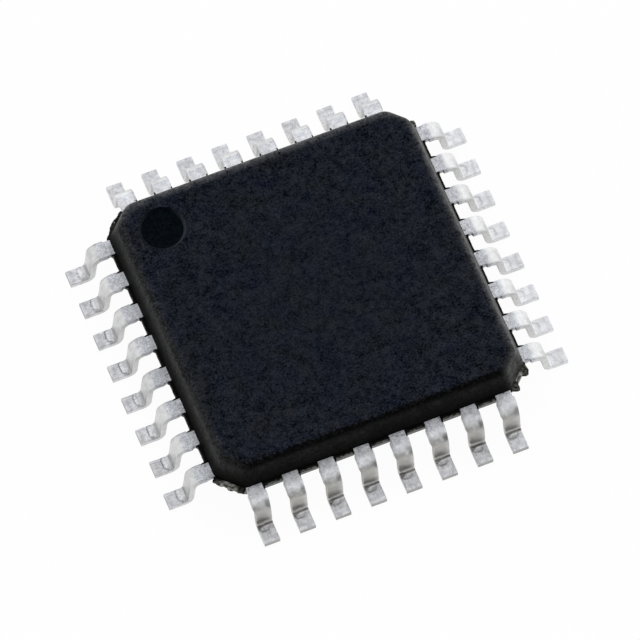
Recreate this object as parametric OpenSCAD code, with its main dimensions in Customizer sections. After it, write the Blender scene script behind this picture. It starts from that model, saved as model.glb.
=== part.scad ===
// Microcontroller chip in a quad flat package with gull-wing leads.
// Millimetres, +Z up, origin on the board plane under the middle of the body.
// The index recess marks the first lead (-X, +Y), and the leads count anticlockwise seen from above.

/* [Body] */
// Width of the moulded body at its parting plane, the same both ways
body_w = 7; // [6.3:0.05:7.7]
// Thickness of the moulded body
body_t = 1.4; // [1.3:0.05:1.6]
// Gap between the board and the underside of the body
stand_off = 0.1; // [0.05:0.01:0.15]
// Lean of the side walls, so that each half leaves its mould
draft_deg = 15; // [8:1:18]
// Length cut off each side at a corner of the body
corner_cut = 0.5; // [0.4:0.02:0.5]
// Radius between a side wall and a cut corner, seen from above
corner_r = 0.3; // [0.1:0.02:0.32]
// Radius along the edges of the top and of the underside
edge_r = 0.14; // [0.06:0.02:0.2]
// Diameter of the index recess at its rim
dimple_d = 1; // [0.7:0.05:1.2]
// Depth of the index recess
dimple_depth = 0.06; // [0.03:0.01:0.12]
// Slope of the wall of the recess from upright
dimple_slope = 42; // [10:1:50]
// Distance from the -X edge of the body to the middle of the recess
dimple_in_x = 1.05; // [1:0.05:1.6]
// Distance from the +Y edge of the body to the middle of the recess
dimple_in_y = 1; // [1:0.05:1.6]

/* [Mould flash] */
// How far the resin between two leads stands out from the body
flash_out = 0.05; // [0.03:0.01:0.07]
// Thickness of that resin
flash_t = 0.09; // [0.06:0.01:0.11]
// How much further the resin runs out along the sides of a lead
web_out = 0.09; // [0.03:0.01:0.1]
// Width of that run-out at its root
web_w = 0.05; // [0.03:0.01:0.08]
// Width of the broken gate at the +X, -Y corner
gate_w = 0.5; // [0.3:0.05:0.6]
// How far the broken gate stands out from the cut corner
gate_out = 0.06; // [0.04:0.01:0.08]
// Depth of the gate below the middle of the lead frame
gate_t = 0.25; // [0.15:0.05:0.35]

/* [Leads] */
// Distance between the middles of two neighbouring leads
lead_pitch = 0.8; // [0.65:0.05:0.8]
// Width of a lead
lead_w = 0.35; // [0.3:0.01:0.38]
// Thickness of the lead frame
lead_t = 0.127; // [0.1:0.009:0.145]
// How far the lead tips reach out from the body
lead_reach = 1; // [0.96:0.02:1.2]
// Flat length of a foot, from its tip to the heel bend
foot_flat = 0.35; // [0.26:0.01:0.36]
// Inside radius of the heel bend
heel_r = 0.08; // [0.05:0.01:0.09]
// Inside radius of the shoulder bend
bend_r = 0.17; // [0.11:0.02:0.19]
// Lean of the riser from upright
riser_lean = 6.5; // [0:0.5:7]
// Distance from the body to the trimmed dam bar
dam_in = 0.13; // [0.12:0.01:0.14]
// Width of the trimmed dam bar
dam_w = 0.08; // [0.05:0.01:0.09]
// How far a dam bar stub stands out at each side of its lead
dam_out = 0.02; // [0.01:0.01:0.04]

/* [Lead frame inside] */
// Width of the die paddle
pad_w = 3.2; // [2.9:0.1:3.6]
// How far the paddle lies below the leads
pad_drop = 0.2; // [0.15:0.05:0.3]
// Length over which a tie bar climbs from the paddle to the leads
tie_climb = 0.3; // [0.2:0.05:0.4]
// Width of a tie bar
tie_w = 0.24; // [0.16:0.02:0.28]
// How far a cut tie bar stands out of its corner
tie_out = 0.05; // [0.03:0.01:0.08]
// Gap between the paddle and the tips of the inner leads
finger_gap = 0.2; // [0.15:0.05:0.3]
// Width of an inner lead at its tip
tip_w = 0.2; // [0.14:0.02:0.22]
// Gap between a tie bar and the nearest inner lead tip
tie_gap = 0.09; // [0.07:0.01:0.12]
// Distance from the body's edge inwards to where the inner leads turn
knee_in = 0.2; // [0.15:0.05:0.25]

/* [Die and wires] */
// Width of the silicon die
die_w = 2.4; // [2:0.1:2.6]
// Thickness of the die
die_t = 0.25; // [0.15:0.05:0.3]
// Thickness of the die-attach film
attach_t = 0.03; // [0.02:0.01:0.05]
// How far the die-attach film spreads past the die
attach_out = 0.06; // [0.02:0.02:0.1]
// Diameter of a bond wire
wire_d = 0.025; // [0.018:0.001:0.033]
// Diameter of the ball bond
ball_d = 0.07; // [0.05:0.005:0.08]
// Height of the ball bond
ball_h = 0.018; // [0.012:0.002:0.024]
// Height of the neck between a ball bond and its wire
neck_h = 0.012; // [0.008:0.002:0.016]
// Height of a wire loop above the die
loop_h = 0.16; // [0.12:0.01:0.2]
// Radius of the bend at the top of a wire loop
loop_r = 0.06; // [0.04:0.01:0.08]
// Distance from the edge of the die to the row of ball bonds
bond_in = 0.1; // [0.08:0.01:0.14]
// Distance from a corner of the die to the last ball bond
bond_corner = 0.3; // [0.2:0.05:0.4]
// Distance from the tip of an inner lead to the heel of its stitch bond
stitch_in = 0.12; // [0.08:0.02:0.16]
// Length of a stitch bond
stitch_len = 0.06; // [0.04:0.01:0.08]

/* [Hidden] */
$fn = 48;
sides = 4;
// As many leads on each side as fit between the cut corners
per_side = 1 + floor((body_w - 2 * corner_cut - lead_w) / lead_pitch);
lead_count = sides * per_side;

function lead_name(i) = str("lead_", i < 10 ? "0" : "", i);

// Heights, from the board up
body_bottom = stand_off;
body_top = stand_off + body_t;
parting_z = stand_off + body_t / 2;
lead_top = parting_z + lead_t / 2;
pad_z = parting_z - pad_drop;
attach_z = pad_z + lead_t / 2;
die_z = attach_z + attach_t;
die_top = die_z + die_t;

// Distances of the side walls and of the cut corners from the middle, at the parting plane
wall_d = body_w / 2;
corner_d = (body_w - corner_cut) / sqrt(2);
corner_len = corner_cut * sqrt(2);
// Half the turn from a wall to a cut corner, and the distance of the face that rounds off between them
blend_turn = 22.5;
corner_edge_d = wall_d * cos(blend_turn) + (wall_d - corner_cut) * sin(blend_turn);
blend_d = corner_edge_d - corner_r * (1 / cos(blend_turn) - 1);
wall_inset = body_t / 2 * tan(draft_deg);
edge_steps = 5;

// The formed lead, seen from its side: u runs out from the middle of the body
tip_end = wall_d + lead_reach;
heel_u = tip_end - foot_flat;
heel_mid_r = heel_r + lead_t / 2;
bend_mid_r = bend_r + lead_t / 2;
riser_low = [
    heel_u - heel_mid_r * cos(riser_lean),
    lead_t + heel_r - heel_mid_r * sin(riser_lean)
];
riser_high_z = parting_z - bend_mid_r * (1 - sin(riser_lean));
riser_len = (riser_high_z - riser_low.y) / cos(riser_lean);
bend_u = riser_low.x - riser_len * sin(riser_lean) - bend_mid_r * cos(riser_lean);

// The inner leads fan in from the knee to their tips beside the paddle
knee_u = wall_d - knee_in;
tip_u = pad_w / 2 + finger_gap;
tip_edge = tip_u - tie_w / sqrt(2) - tie_gap * sqrt(2);
tip_pitch = 2 * (tip_edge - tip_w / 2) / (per_side - 1);
stitch_u = tip_u + stitch_in;

// The ball bonds on the die
bond_u = die_w / 2 - bond_in;
bond_pitch = (die_w - 2 * bond_corner) / (per_side - 1);

// The wires have six sides, with a flat one below at the stitch bond
wire_sides = 6;
loop_step = 45;
wire_r = wire_d / 2;
stitch_z = lead_top + wire_r * cos(180 / wire_sides);

// Which way a lead faces, and its place along its side in pitches from the middle
function side_turn(i) = 180 + 90 * floor((i - 1) / per_side);
function place(i) = (i - 1) % per_side - (per_side - 1) / 2;

// Middle of an inner lead at a distance u from the middle of the body
function finger_v(p, u) =
    p * (tip_pitch + (lead_pitch - tip_pitch) * (u - tip_u) / (knee_u - tip_u));

// Part of a flat ring between two angles less than half a turn apart
module ring_sector(r_in, r_out, from, to) {
    reach = 2 * r_out;
    intersection() {
        difference() {
            circle(r_out);
            circle(r_in);
        }
        polygon([
            [0, 0],
            reach * [cos(from), sin(from)],
            reach * [cos((from + to) / 2), sin((from + to) / 2)],
            reach * [cos(to), sin(to)]
        ]);
    }
}

// Shoulder bend, riser, heel bend and foot as one strip of even thickness
module gull_wing_profile() {
    translate([bend_u, parting_z - bend_mid_r])
        ring_sector(bend_r, bend_r + lead_t, riser_lean, 90);
    translate(riser_low)
        rotate(riser_lean)
            translate([-lead_t / 2, 0])
                square([lead_t, riser_len]);
    translate([heel_u, lead_t + heel_r])
        ring_sector(heel_r, heel_r + lead_t, 180 + riser_lean, 270);
    translate([heel_u, 0])
        square([foot_flat, lead_t]);
}

// Shoulder, dam bar stubs and inner lead in plan
module finger_plan(p) {
    v = p * lead_pitch;
    tip_v = finger_v(p, tip_u);
    polygon([
        [bend_u, v - lead_w / 2],
        [bend_u, v + lead_w / 2],
        [knee_u, v + lead_w / 2],
        [tip_u, tip_v + tip_w / 2],
        [tip_u, tip_v - tip_w / 2],
        [knee_u, v - lead_w / 2]
    ]);
    translate([wall_d + dam_in, v - lead_w / 2 - dam_out])
        square([dam_w, lead_w + 2 * dam_out]);
}

module lead_shape(i) {
    p = place(i);
    rotate(side_turn(i)) {
        translate([0, p * lead_pitch, 0])
            rotate([90, 0, 0])
                linear_extrude(lead_w, center = true)
                    gull_wing_profile();
        translate([0, 0, parting_z - lead_t / 2])
            linear_extrude(lead_t)
                finger_plan(p);
    }
}

// A tie bar seen from its side: it climbs from the paddle to the level of the leads
module tie_bar_profile() {
    pad_corner = pad_w / sqrt(2);
    foot_s = pad_corner - tie_w;
    low_s = pad_corner + tie_gap;
    high_s = low_s + tie_climb;
    end_s = corner_d + tie_out;
    polygon([
        [foot_s, pad_z - lead_t / 2],
        [low_s, pad_z - lead_t / 2],
        [high_s, parting_z - lead_t / 2],
        [end_s, parting_z - lead_t / 2],
        [end_s, parting_z + lead_t / 2],
        [high_s, parting_z + lead_t / 2],
        [low_s, pad_z + lead_t / 2],
        [foot_s, pad_z + lead_t / 2]
    ]);
}

module pad_shape() {
    translate([-pad_w / 2, -pad_w / 2, pad_z - lead_t / 2])
        cube([pad_w, pad_w, lead_t]);
    for (turn = [45:90:315])
        rotate(turn)
            rotate([90, 0, 0])
                linear_extrude(tie_w, center = true)
                    tie_bar_profile();
}

module attach_shape() {
    attach_w = die_w + 2 * attach_out;
    translate([-attach_w / 2, -attach_w / 2, attach_z])
        cube([attach_w, attach_w, attach_t]);
}

module die_shape() {
    translate([-die_w / 2, -die_w / 2, die_z])
        cube([die_w, die_w, die_t]);
}

// Stations along a wire of the given run: [distance, height, radius, slope in degrees]
function wire_stations(run) = concat(
    [
        [0, die_top, ball_d / 2, 90],
        [0, die_top + ball_h, ball_d / 2, 90],
        [0, die_top + ball_h + neck_h, wire_r, 90]
    ],
    [
        for (turn = [0:loop_step:90])
            [loop_r * (1 - cos(turn)), die_top + loop_h - loop_r * (1 - sin(turn)), wire_r, 90 - turn]
    ],
    [
        [run, stitch_z, wire_r, 0],
        [run + stitch_len, stitch_z, wire_r, 0]
    ]
);

function ring_point(station, angle) = [
    station[0] - station[2] * sin(angle) * sin(station[3]),
    station[2] * cos(angle),
    station[1] + station[2] * sin(angle) * cos(station[3])
];

module wire_shape(i) {
    p = place(i);
    from = [bond_u, p * bond_pitch];
    span = [stitch_u, finger_v(p, stitch_u)] - from;
    stations = wire_stations(norm(span));
    last = (len(stations) - 1) * wire_sides;
    points = [
        for (station = stations, k = [0:wire_sides - 1])
            ring_point(station, k * 360 / wire_sides)
    ];
    walls = [
        for (row = [0:wire_sides:last - 1], k = [0:wire_sides - 1])
            let (next = (k + 1) % wire_sides, above = row + wire_sides)
                each [[row + k, above + k, above + next], [row + k, above + next, row + next]]
    ];
    ends = [
        [for (k = [0:wire_sides - 1]) k],
        [for (k = [wire_sides - 1:-1:0]) last + k]
    ];
    rotate(side_turn(i))
        translate(from)
            rotate(atan2(span.y, span.x))
                polyhedron(points, concat(walls, ends));
}

module wire_shapes() {
    for (i = [1:lead_count])
        wire_shape(i);
}

// Rounded edge of the section, from one angle to another about its own middle
function edge_arc(middle, from, to) = [
    for (k = [0:edge_steps])
        let (angle = from + (to - from) * k / edge_steps)
            middle + edge_r * [cos(angle), sin(angle)]
];

// Section through the body between two opposite walls, with a flat step for each part of a rounded edge
module body_section(wall) {
    x = wall - wall_inset - edge_r * tan((90 - draft_deg) / 2);
    low = body_bottom + edge_r;
    high = body_top - edge_r;
    polygon(concat(
        [[wall, parting_z]],
        edge_arc([x, high], draft_deg, 90),
        edge_arc([-x, high], 90, 180 - draft_deg),
        [[-wall, parting_z]],
        edge_arc([-x, low], 180 + draft_deg, 270),
        edge_arc([x, low], 270, 360 - draft_deg)
    ));
}

// Distance from the middle of the body to the face that looks each way
function face_d(turn) = turn % 90 == 0 ? wall_d : turn % 45 == 0 ? corner_d : blend_d;

// The section runs through the body in eight directions, and what they share is the moulding
module body_block() {
    intersection_for (turn = [0:blend_turn:180 - blend_turn])
        rotate(turn)
            rotate([90, 0, 0])
                linear_extrude(2 * body_w, center = true)
                    body_section(face_d(turn));
}

// Resin that ran out between two leads, up to the dam bar that is cut away
module flash_plan(p) {
    low = p * lead_pitch + lead_w / 2;
    high = (p + 1) * lead_pitch - lead_w / 2;
    root = wall_d - wall_inset;
    edge = wall_d + flash_out;
    polygon([
        [root, low],
        [edge + web_out, low],
        [edge, low + web_w],
        [edge, high - web_w],
        [edge + web_out, high],
        [root, high]
    ]);
}

module flash() {
    for (side = [0:sides - 1], k = [0:per_side - 2])
        rotate(90 * side)
            translate([0, 0, parting_z - flash_t / 2])
                linear_extrude(flash_t)
                    flash_plan(k - (per_side - 1) / 2);
}

// Resin along the cut corners round the ends of the tie bars, and the broken gate at one of them
module corner_flash() {
    root = corner_d - wall_inset;
    for (turn = [45:90:315])
        rotate(turn)
            translate([root, -corner_len / 2 + web_w, parting_z - flash_t / 2])
                cube([wall_inset + flash_out, corner_len - 2 * web_w, flash_t]);
    rotate(-45)
        translate([root, -gate_w / 2, parting_z - gate_t])
            cube([wall_inset + gate_out, gate_w, gate_t]);
}

// The recess widens from its floor to its rim, and on above the top face
module index_recess() {
    widening = 2 * dimple_depth * tan(dimple_slope);
    translate([dimple_in_x - wall_d, wall_d - dimple_in_y, body_top - dimple_depth])
        cylinder(d1 = dimple_d - widening, d2 = dimple_d + widening, h = 2 * dimple_depth);
}

module package_body() {
    color("#1b1e24")
        difference() {
            union() {
                body_block();
                flash();
                corner_flash();
            }
            index_recess();
            for (i = [1:lead_count])
                lead_shape(i);
            pad_shape();
            attach_shape();
            die_shape();
            wire_shapes();
        }
}

module lead(i) {
    color("#c9cbcd")
        lead_shape(i);
}

module die_pad() {
    color("#b98a5e")
        pad_shape();
}

module die_attach() {
    color("#a9abad")
        attach_shape();
}

module die() {
    color("#565a66")
        die_shape();
}

module bond_wires() {
    color("#d9b04c")
        wire_shapes();
}

package_body();
die_pad();
die_attach();
die();
bond_wires();
for (i = [1:lead_count])
    lead(i);
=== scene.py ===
"""Looks of a microcontroller chip in a quad flat package with gull-wing leads.

Lengths are written in millimetres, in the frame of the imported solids, and MM turns them into metres.
A lead is drawn in its own plane first: u runs out from the middle of the body, v along the side, z up.
"""

import math
import random
from functools import partialmethod

import bpy
import numpy as np
from mathutils import Matrix, Vector, noise


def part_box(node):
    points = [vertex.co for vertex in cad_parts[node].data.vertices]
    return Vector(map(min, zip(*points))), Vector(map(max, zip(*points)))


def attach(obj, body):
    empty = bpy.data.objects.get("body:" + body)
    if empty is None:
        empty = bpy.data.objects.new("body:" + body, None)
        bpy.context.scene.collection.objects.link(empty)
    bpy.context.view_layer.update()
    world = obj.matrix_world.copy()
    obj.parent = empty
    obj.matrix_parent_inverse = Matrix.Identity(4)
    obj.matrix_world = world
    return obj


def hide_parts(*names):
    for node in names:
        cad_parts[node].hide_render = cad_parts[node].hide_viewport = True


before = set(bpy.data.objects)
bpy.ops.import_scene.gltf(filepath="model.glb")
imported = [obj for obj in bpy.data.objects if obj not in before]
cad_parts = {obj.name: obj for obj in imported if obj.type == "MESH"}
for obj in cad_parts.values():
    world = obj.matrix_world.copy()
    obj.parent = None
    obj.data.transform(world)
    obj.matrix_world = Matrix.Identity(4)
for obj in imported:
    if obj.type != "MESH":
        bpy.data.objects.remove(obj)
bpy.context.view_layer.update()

MM = 0.001
SEED = 32
SHARP_FROM = math.radians(38)
QUARTER = math.pi / 2
EIGHTH = math.pi / 4


def box_mm(node):
    """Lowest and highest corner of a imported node, in millimetres."""
    low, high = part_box(node)
    return low / MM, high / MM


# The moulded body
body_low, body_high = box_mm("package_body")
BODY_BOTTOM = body_low.z
BODY_TOP = body_high.z
PARTING = (BODY_BOTTOM + BODY_TOP) / 2
WALL_D = 3.5
CORNER_CUT = 0.5
CORNER_D = (2 * WALL_D - CORNER_CUT) / math.sqrt(2)
CORNER_LEN = CORNER_CUT * math.sqrt(2)
DRAFT = math.radians(15)
EDGE_R = 0.14
UPRIGHT_R = 0.2
UPRIGHT_TOP_R = 0.4
WALL_INSET = (BODY_TOP - PARTING) * math.tan(DRAFT)
FLAT_INSET = WALL_INSET + EDGE_R * math.tan((QUARTER - DRAFT) / 2)

# The index recess
RECESS_X = -2.45
RECESS_Y = 2.5
RECESS_R = 0.5
RECESS_DEPTH = 0.06
RECESS_SLOPE = math.radians(42)
RECESS_RIM_R = 0.02

# The leads
SIDES = 4
lead_names = sorted(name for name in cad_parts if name.startswith("lead_"))
PER_SIDE = len(lead_names) // SIDES
lead_low, lead_high = box_mm(lead_names[0])
LEAD_PITCH = 0.8
LEAD_W = 0.35
LEAD_T = 2 * (lead_high.z - PARTING)
LEAD_EDGE_R = 0.014
TIP_END = -lead_low.x
FINGER_TIP = -lead_high.x
FINGER_TIP_W = 0.2
TIE_BAR_W = 0.24
TIE_BAR_GAP = 0.09
FINGER_ROW = 2 * FINGER_TIP - math.sqrt(2) * TIE_BAR_W - 2 * math.sqrt(2) * TIE_BAR_GAP - FINGER_TIP_W
FINGER_TIP_PITCH = FINGER_ROW / (PER_SIDE - 1)
KNEE_IN = 0.2
KNEE = WALL_D - KNEE_IN
FOOT_FLAT = 0.35
HEEL_R = 0.08
BEND_R = 0.17
RISER_LEAN = math.radians(6.5)

# The stubs of the trimmed dam bar, at the v > 0 and the v < 0 edge of a lead
DAM_IN = 0.13
DAM_W = 0.08
DAM_OUT = 0.02
STUB_SPREAD = ((0.6, 1.4), (1.5, 2.4))  # least and most share of DAM_OUT that is left
STUB_RISE = 0.015
STUB_FALL = ((0.0, 0.24), (0.25, 0.12))  # start past the bar, and length, of the slope after it

# Resin that ran out at the parting plane, with values for the +X, +Y, -X and -Y sides
FLASH_OUT = (0.035, 0.05, 0.05, 0.05)
FLASH_T = 0.09
FLASH_ROUGH = 0.006
FLASH_STEPS = 36
WEB_OUT = ((0.115, 0.025), (0.14, 0.14), (0.03, 0.12), (0.1, 0.015))  # at the low and high v of a gap
WEB_FULL = 0.1  # the run-out from which a web climbs to its whole height
WEB_W = 0.05
WEB_DROP = 0.006
WEB_TOP = PARTING + LEAD_T / 2 - WEB_DROP
WEB_FACE_CLEAN = 0.8  # share of the fleck on its face that a web is free of
FLASH_FLECK = (0.5, 0.0, WEB_W)
SHELF_CHAMFER = 0.2  # share of the resin's thickness
LONG_WAVES = 9
SHORT_WAVES = 31
SHORT_WAVE_SHARE = 0.6
SIDE_SEEDS = 10

# Resin left at each cut corner, anticlockwise from the (+X, +Y) one: least run-out,
# lumps (place, height, half width), thickness, and fleck on face and top with the width of the dark ends
CORNER_RESIN = (
    (0.025, ((0.27, 0.1, 0.08), (-0.24, 0.11, 0.12)), 0.1, (0.7, 0.6, 0.05)),
    (0.03, ((0.0, 0.075, 0.3),), 0.135, (0.25, 0.08, 0.05)),
    (0.08, ((-0.2, 0.1, 0.2), (0.05, 0.12, 0.15), (0.25, 0.1, 0.15)), 0.1, (1.0, 0.9, 0.22)),
    (0.01, ((0.21, 0.145, 0.12), (-0.21, 0.12, 0.09)), 0.1, (0.4, 0.3, 0.05)),
)
CORNER_ROUGH = 0.016
CORNER_RESIN_STEPS = 48
CORNER_SEED = 50

# The broken gate
GATE_CORNER = 3
GATE_W = 0.5
GATE_T = 0.25
GATE_UNDERCUT = 0.12
GATE_ROUGH = 0.03
GATE_STEPS = 40
GATE_SEED = 60


def add_piece(name, points, faces, materials, attribute, values, slots):
    """A smooth mesh object from points in millimetres, with one vector attribute for its materials."""
    mesh = bpy.data.meshes.new(name)
    mesh.from_pydata(np.asarray(points, float) * MM, [], faces)
    layer = mesh.attributes.new(attribute, "FLOAT_VECTOR", "POINT")
    layer.data.foreach_set("vector", np.asarray(values, np.float32).ravel())
    mesh.shade_smooth()
    mesh.set_sharp_from_angle(angle=SHARP_FROM)
    for material in materials:
        mesh.materials.append(material)
    mesh.polygons.foreach_set("material_index", slots)
    mesh.validate()
    piece = bpy.data.objects.new(name, mesh)
    bpy.context.scene.collection.objects.link(piece)
    return piece


def ring_faces(rings, count):
    """Quads between neighbouring rings of count points each."""
    return [
        (a + k, a + (k + 1) % count, a + count + (k + 1) % count, a + count + k)
        for a in range(0, (rings - 1) * count, count)
        for k in range(count)
    ]


def tube_faces(rings, count):
    """Faces of a closed tube whose rings run clockwise, seen from the last: its sides, then its ends."""
    last = (rings - 1) * count
    sides = [tuple(reversed(face)) for face in ring_faces(rings, count)]
    return sides + [tuple(range(count)), tuple(range(last + count - 1, last - 1, -1))]


# The body's mesh

WALL_STEPS = 56
CORNER_STEPS = 10
UPRIGHT_STEPS = 6
EDGE_STEPS = 10
HEIGHT_STEPS = 7
RECESS_RIM_STEPS = 4
BASE_RINGS = (0.03, 0.5)  # shares of the way out to the rim of the underside
TOP_RINGS = (0.03, 0.3, 0.6, 0.85, 0.97)  # shares of the way from the top's rim to the recess
FLOOR_RINGS = (0.85, 0.5, 0.2)  # shares of the radius of the recess floor
TOP_SLOT, WALL_SLOT, RECESS_SLOT, BROKEN_SLOT, LOWER_SLOT = range(5)

# How much painted light the top edges get, by the way that they face the lamps:
# amount, share of it at the rim of the flat top, and depth below the rounded edge at which it ends
EDGE_HIGHLIGHT = (((1, 0), 0.13, 0.05, 1.5), ((0, 1), 0.15, 0.2, 0.5), ((-1, 0), 0.032, 0.3, 0.3))
HIGHLIGHT_INSIDE = 0.09  # how far in from the rim of the flat top it ends
GRAIN_REACH = 0.08  # how far out from that rim the reach of the grain is none

# How much painted highlight the slope round the index recess gets, by its side, and the share of that at its
# foot
RECESS_HIGHLIGHT = (((0.9, -0.44), 0.034), ((-0.94, 0.34), 0.014), ((0, -1), 0.011))
RECESS_FOOT_HIGHLIGHT = 0.7


def outline(inset):
    """Plan of the body at an inset from its parting plane: four walls, four cut corners, rounded between."""
    distances = [(CORNER_D if k % 2 else WALL_D) - inset for k in range(8)]
    radius = UPRIGHT_R + (UPRIGHT_TOP_R - UPRIGHT_R) * inset / FLAT_INSET
    trim = radius * math.tan(EIGHTH / 2)
    points = []
    for k in range(8):
        here, before, after = distances[k], distances[k - 1], distances[(k + 1) % 8]
        normal = np.array([math.cos(k * EIGHTH), math.sin(k * EIGHTH)])
        along = np.array([-normal[1], normal[0]])
        low = -(before - here * math.cos(EIGHTH)) / math.sin(EIGHTH) + trim
        high = (after - here * math.cos(EIGHTH)) / math.sin(EIGHTH) - trim
        steps = CORNER_STEPS if k % 2 else WALL_STEPS
        points += [here * normal + s * along for s in np.linspace(low, high, steps + 1)]
        middle = (here - radius) * normal + high * along
        for step in range(1, UPRIGHT_STEPS):
            angle = (k + step / UPRIGHT_STEPS) * EIGHTH
            points.append(middle + radius * np.array([math.cos(angle), math.sin(angle)]))
    return np.array(points)


def outline_highlight(plan, z):
    """Painted light at each point of an outline at a height, from the way that the outline faces there."""
    along = np.roll(plan, -1, axis=0) - np.roll(plan, 1, axis=0)
    normals = np.stack([along[:, 1], -along[:, 0]], axis=1) / np.linalg.norm(along, axis=1)[:, None]
    depth = BODY_TOP - z
    arc_depth = EDGE_R * (1 - math.sin(DRAFT))
    turn = math.acos(max(math.sin(DRAFT), 1 - depth / EDGE_R)) / (QUARTER - DRAFT)
    highlight = np.zeros(len(plan))
    for facing, amount, at_rim, fade in EDGE_HIGHLIGHT:
        share = (at_rim + (1 - at_rim) * turn) * min(1, max(0, 1 - (depth - arc_depth) / fade))
        highlight += amount * share * np.clip(normals @ facing, 0, 1) ** 2
    return highlight


def body_profile():
    """Stations from the underside up to the flat top: inset, height, reach of the grain and slot.

    The reach is a half at the rim of the flat top and falls to none down the rounded edge.
    """
    low_z = BODY_BOTTOM + EDGE_R
    high_z = BODY_TOP - EDGE_R
    arc = np.linspace(QUARTER, DRAFT, EDGE_STEPS + 1)
    stations = []
    for angle in arc:
        inset = FLAT_INSET - EDGE_R * math.cos(angle)
        stations.append((inset, low_z - EDGE_R * math.sin(angle), 0, LOWER_SLOT))
    start_z = low_z - EDGE_R * math.sin(DRAFT)
    for z in np.linspace(start_z, PARTING, HEIGHT_STEPS + 1)[1:-1]:
        stations.append(((PARTING - z) * math.tan(DRAFT), z, 0, LOWER_SLOT))
    end_z = high_z + EDGE_R * math.sin(DRAFT)
    for z in np.linspace(PARTING, end_z, HEIGHT_STEPS + 1)[:-1]:
        stations.append(((z - PARTING) * math.tan(DRAFT), z, 0, WALL_SLOT))
    for angle in arc[::-1]:
        inset = FLAT_INSET - EDGE_R * math.cos(angle)
        reach = max(0, 0.5 - 0.5 * (FLAT_INSET - inset) / GRAIN_REACH)
        stations.append((inset, high_z + EDGE_R * math.sin(angle), reach, TOP_SLOT))
    return stations


def recess_profile():
    """Stations from the rim of the index recess to its floor: radius, height, reach of the grain and painted
    highlight.
    """
    floor_z = BODY_TOP - RECESS_DEPTH
    rise = RECESS_DEPTH * math.tan(RECESS_SLOPE)
    lean = QUARTER - RECESS_SLOPE
    roll = RECESS_RIM_R * math.tan(lean / 2)
    floor_r = RECESS_R - rise - roll
    shares = [step / RECESS_RIM_STEPS for step in range(RECESS_RIM_STEPS + 1)]
    stations = []
    for share in shares:
        turn = lean * share
        radius = RECESS_R + roll - RECESS_RIM_R * math.sin(turn)
        stations.append((radius, BODY_TOP - RECESS_RIM_R * (1 - math.cos(turn)), 1 - share, share))
    for share in reversed(shares):
        turn = lean * share
        radius = floor_r + RECESS_RIM_R * math.sin(turn)
        stations.append((radius, floor_z + RECESS_RIM_R * (1 - math.cos(turn)), 0, RECESS_FOOT_HIGHLIGHT * share))
    stations += [(floor_r * share, floor_z, 0, 0) for share in FLOOR_RINGS]
    return stations


def body_shell():
    """Points, faces, zones (reach of the grain, painted light, fleck) and slots of the moulding without its
    flash.
    """
    profile = body_profile()
    count = len(outline(0))
    points, zones, slots = [], [], []

    def add_ring(plan, z, reach, slot, highlight=0.0):
        points.extend((x, y, z) for x, y in plan)
        zones.extend((reach, amount, 0) for amount in np.broadcast_to(highlight, count))
        slots.extend([slot] * count)

    base = outline(profile[0][0])
    for share in BASE_RINGS:
        add_ring(base * share, BODY_BOTTOM, 0, LOWER_SLOT)
    for inset, z, reach, slot in profile:
        plan = outline(inset)
        add_ring(plan, z, reach, slot, outline_highlight(plan, z))
    rim = outline(profile[-1][0] + HIGHLIGHT_INSIDE)
    add_ring(rim, BODY_TOP, 1, TOP_SLOT)
    middle = np.array([RECESS_X, RECESS_Y])
    spokes = (rim - middle) / np.linalg.norm(rim - middle, axis=1)[:, None]
    recess = recess_profile()
    mouth = middle + recess[0][0] * spokes
    for share in TOP_RINGS:
        add_ring(rim + share * (mouth - rim), BODY_TOP, 1, TOP_SLOT)
    recess_highlight = sum(amount * np.clip(spokes @ facing, 0, 1) ** 2 for facing, amount in RECESS_HIGHLIGHT)
    for radius, z, reach, highlight in recess:
        add_ring(middle + radius * spokes, z, reach, TOP_SLOT if reach else RECESS_SLOT, highlight * recess_highlight)
    rings = len(points) // count
    faces = ring_faces(rings, count)
    faces.append(tuple(range(count - 1, -1, -1)))
    faces.append(tuple(range((rings - 1) * count, rings * count)))
    slots = slots[:(rings - 1) * count] + [LOWER_SLOT, RECESS_SLOT]
    return points, faces, zones, slots


def turned(u, v, turn):
    """Plan position of a point that is u out from the middle and v along the side that faces turn."""
    return u * math.cos(turn) - v * math.sin(turn), u * math.sin(turn) + v * math.cos(turn)


def ragged(v, seed, size):
    """Smooth seeded wobble along an edge, about one size each way: long waves with short ones on them."""
    long_wave = noise.noise(Vector((LONG_WAVES * v, seed, 0)))
    short_wave = noise.noise(Vector((SHORT_WAVES * v, seed, 5)))
    return size * (long_wave + SHORT_WAVE_SHARE * short_wave)


def web_share(v, span, width):
    """One at the ends of a span, where resin climbs the leads, and none past a width from them."""
    near = min(v - span[0], span[1] - v)
    return max(0, 1 - (near / width) ** 2)


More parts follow.
